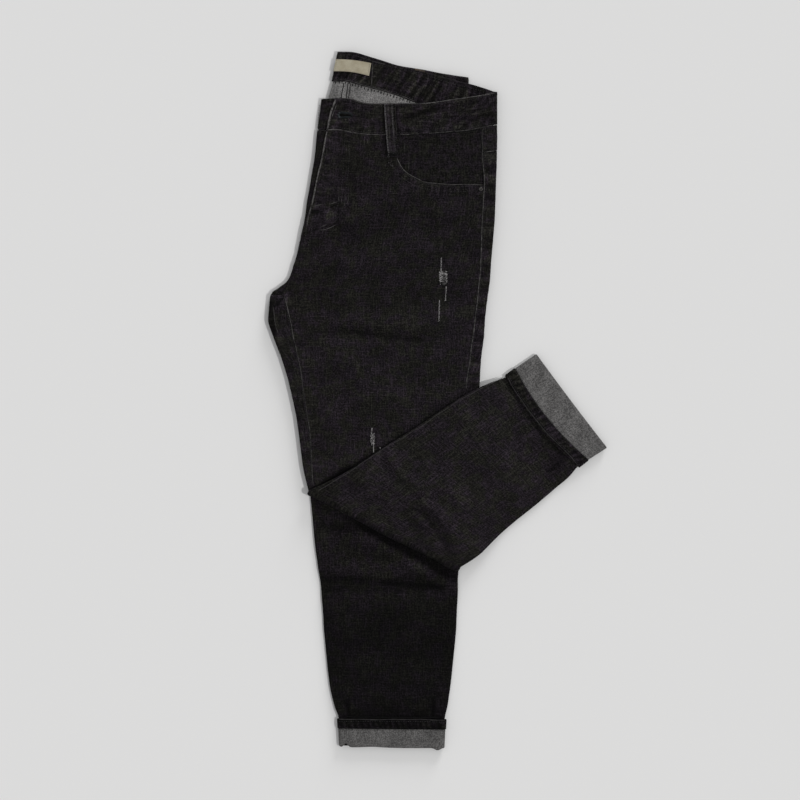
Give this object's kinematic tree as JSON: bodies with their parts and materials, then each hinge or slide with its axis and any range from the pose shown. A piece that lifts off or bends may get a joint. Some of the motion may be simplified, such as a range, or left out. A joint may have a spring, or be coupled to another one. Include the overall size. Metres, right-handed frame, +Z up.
{
  "type": "folded black denim jeans",
  "caption": "Slim black denim jeans lying flat, folded lengthwise with the upper leg turned up at the knee across to one side and the hems turned up to show the grey inside.",
  "frame": {"origin": "centre of the bounding box, on the surface that the folded jeans lie on", "axes": "+Z up, out of that surface; +Y along the legs towards the waistband; +X from the fly side towards the side that the turned-up leg points to"},
  "size_m": [0.4404, 0.904, 0.0167],
  "materials": {
    "denim": "matt black slub denim, worn a little lighter along the seam edges",
    "denim_inside": "matt mottled grey, the inside face of the same denim",
    "leather": "matt brown, bare",
    "label": "cream woven tape, bare",
    "metal": "dark burnished"
  },
  "bodies": {
    "root": {"front_left": "denim", "front_right": "denim", "back_left": "denim", "back_right": "denim", "yoke_left": "denim", "yoke_right": "denim", "pocket_facing_left": "denim", "pocket_facing_right": "denim", "waistband": "denim", "belt_loop_front_left": "denim", "belt_loop_back_right": "denim", "hem_left": "denim", "hem_right": "denim", "cuff_left": "denim_inside", "cuff_right": "denim_inside", "inner_layers": "denim_inside", "leather_patch": "leather", "waistband_label": "label", "rivet_left": "metal"}
  },
  "joints": []
}
